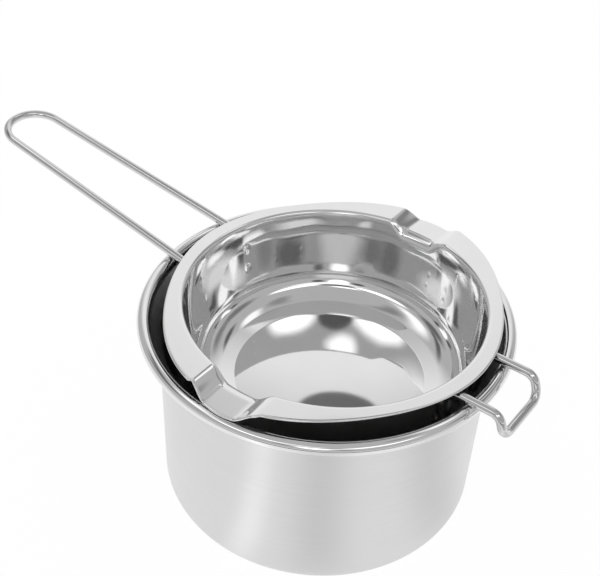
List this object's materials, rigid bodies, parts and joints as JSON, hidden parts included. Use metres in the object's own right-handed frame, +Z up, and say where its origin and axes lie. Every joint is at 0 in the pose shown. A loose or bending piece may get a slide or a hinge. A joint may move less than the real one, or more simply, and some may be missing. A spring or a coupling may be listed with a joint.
{
  "type": "double boiler pot",
  "caption": "Steel double boiler: a drawn water pot with a rolled rim, and a flanged melting bowl with pouring spouts, a long wire handle and a wire helper grip, that lifts out.",
  "frame": {"origin": "middle of the water pot's flat underside, on the surface it stands on", "axes": "+Z up, long handle towards -X, helper grip towards +X, pouring spouts towards +Y and -Y"},
  "size_m": [0.2436, 0.1383, 0.099],
  "materials": {
    "satin_steel": "satin",
    "polished_steel": "mirror polished",
    "wire_steel": "bright drawn",
    "weld_steel": "as welded"
  },
  "bodies": {
    "pot": {"water_pot": "satin_steel"},
    "bowl": {"melting_bowl": "polished_steel", "long_handle": "wire_steel", "helper_handle": "wire_steel", "weld_long_1": "weld_steel", "weld_long_2": "weld_steel", "weld_long_3": "weld_steel", "weld_long_4": "weld_steel", "weld_helper_1": "weld_steel", "weld_helper_2": "weld_steel", "weld_helper_3": "weld_steel", "weld_helper_4": "weld_steel"}
  },
  "joints": [
    {"name": "bowl_lift", "type": "slide", "parent": "pot", "child": "bowl", "axis": [0, 0, 1], "range_m": [0, 0.08]}
  ]
}
